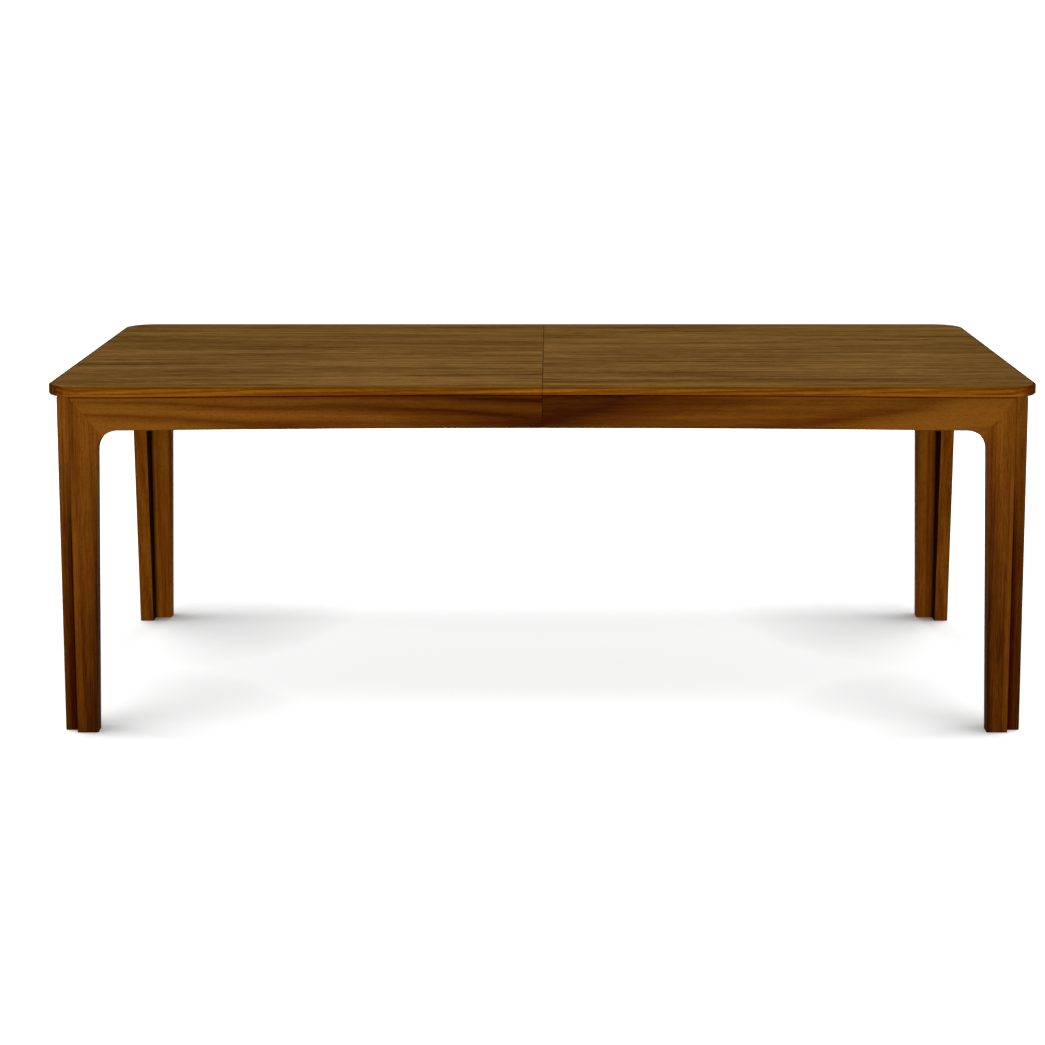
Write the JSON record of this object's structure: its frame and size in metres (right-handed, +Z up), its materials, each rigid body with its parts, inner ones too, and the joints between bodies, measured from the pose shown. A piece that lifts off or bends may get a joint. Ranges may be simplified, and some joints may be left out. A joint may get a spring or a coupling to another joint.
{
  "type": "extending dining table",
  "caption": "Walnut dining table whose two half tops and board frames slide apart on geared wooden slides, with a folding leaf kept inside and catches at the seam.",
  "frame": {"origin": "on the floor, under the middle of the closed top", "axes": "+X along the table, +Y from the front to the rear, +Z up"},
  "size_m": [2.02, 1, 0.725],
  "materials": {
    "walnut_top": "oiled",
    "walnut_frame": "oiled",
    "beech": "sealed",
    "steel": "zinc plated",
    "brass": "satin"
  },
  "bodies": {
    "left_half": {"catch_base_front": "brass", "catch_base_rear": "brass", "cleats_left": "beech", "corner_block_front_left": "beech", "corner_block_rear_left": "beech", "cross_rail_left": "beech", "end_apron_left": "walnut_frame", "end_leg_front_left": "walnut_frame", "end_leg_rear_left": "walnut_frame", "rack_front_left": "steel", "rack_rear_left": "steel", "seam_pins": "brass", "side_apron_front_left": "walnut_frame", "side_apron_rear_left": "walnut_frame", "side_leg_front_left": "walnut_frame", "side_leg_rear_left": "walnut_frame", "slide_rail_front_left": "beech", "slide_rail_rear_left": "beech", "top_left": "walnut_top", "top_screws_left": "steel"},
    "right_half": {"cleats_right": "beech", "corner_block_front_right": "beech", "corner_block_rear_right": "beech", "cross_rail_right": "beech", "end_apron_right": "walnut_frame", "end_leg_front_right": "walnut_frame", "end_leg_rear_right": "walnut_frame", "rack_front_right": "steel", "rack_rear_right": "steel", "side_apron_front_right": "walnut_frame", "side_apron_rear_right": "walnut_frame", "side_leg_front_right": "walnut_frame", "side_leg_rear_right": "walnut_frame", "slide_rail_front_right": "beech", "slide_rail_rear_right": "beech", "top_right": "walnut_top", "top_screws_right": "steel", "catch_strike_front": "brass", "catch_strike_rear": "brass"},
    "leaf_carriage": {"hinge_pins": "steel", "hinge_plates_lower": "brass", "hinge_plates_upper": "brass", "leaf_bearer_left": "beech", "leaf_bearer_right": "beech", "leaf_half_lower": "walnut_top", "leaf_half_upper": "walnut_top", "pinion_axle_front": "steel", "pinion_axle_rear": "steel", "slide_carrier_front": "beech", "slide_carrier_rear": "beech"},
    "pinion_front": {"pinion_front": "steel"},
    "pinion_rear": {"pinion_rear": "steel"},
    "catch_hook_front": {"catch_hook_front": "brass"},
    "catch_hook_rear": {"catch_hook_rear": "brass"}
  },
  "joints": [
    {"name": "extension", "type": "slide", "parent": "left_half", "child": "right_half", "axis": [1, 0, 0], "range_m": [0, 0.45]},
    {"name": "carriage_slide", "type": "slide", "parent": "left_half", "child": "leaf_carriage", "axis": [1, 0, 0], "range_m": [0, 0.225]},
    {"name": "pinion_front_spin", "type": "hinge", "parent": "leaf_carriage", "child": "pinion_front", "pos_m": [0, -0.2925, 0.6696], "axis": [0, 0, 1], "range_deg": [-716.2, 0]},
    {"name": "pinion_rear_spin", "type": "hinge", "parent": "leaf_carriage", "child": "pinion_rear", "pos_m": [0, 0.2925, 0.6696], "axis": [0, 0, 1], "range_deg": [0, 716.2]},
    {"name": "catch_front_turn", "type": "hinge", "parent": "left_half", "child": "catch_hook_front", "pos_m": [-0.02, -0.436, 0.7002], "axis": [0, 0, 1], "range_deg": [-90, 0]},
    {"name": "catch_rear_turn", "type": "hinge", "parent": "left_half", "child": "catch_hook_rear", "pos_m": [-0.02, 0.436, 0.7002], "axis": [0, 0, 1], "range_deg": [0, 90]}
  ],
  "couplings": [
    {"joint": "carriage_slide", "follows": "extension", "ratio": 0.5},
    {"joint": "pinion_front_spin", "follows": "extension", "rad_per_m": -27.778},
    {"joint": "pinion_rear_spin", "follows": "extension", "rad_per_m": 27.778}
  ]
}
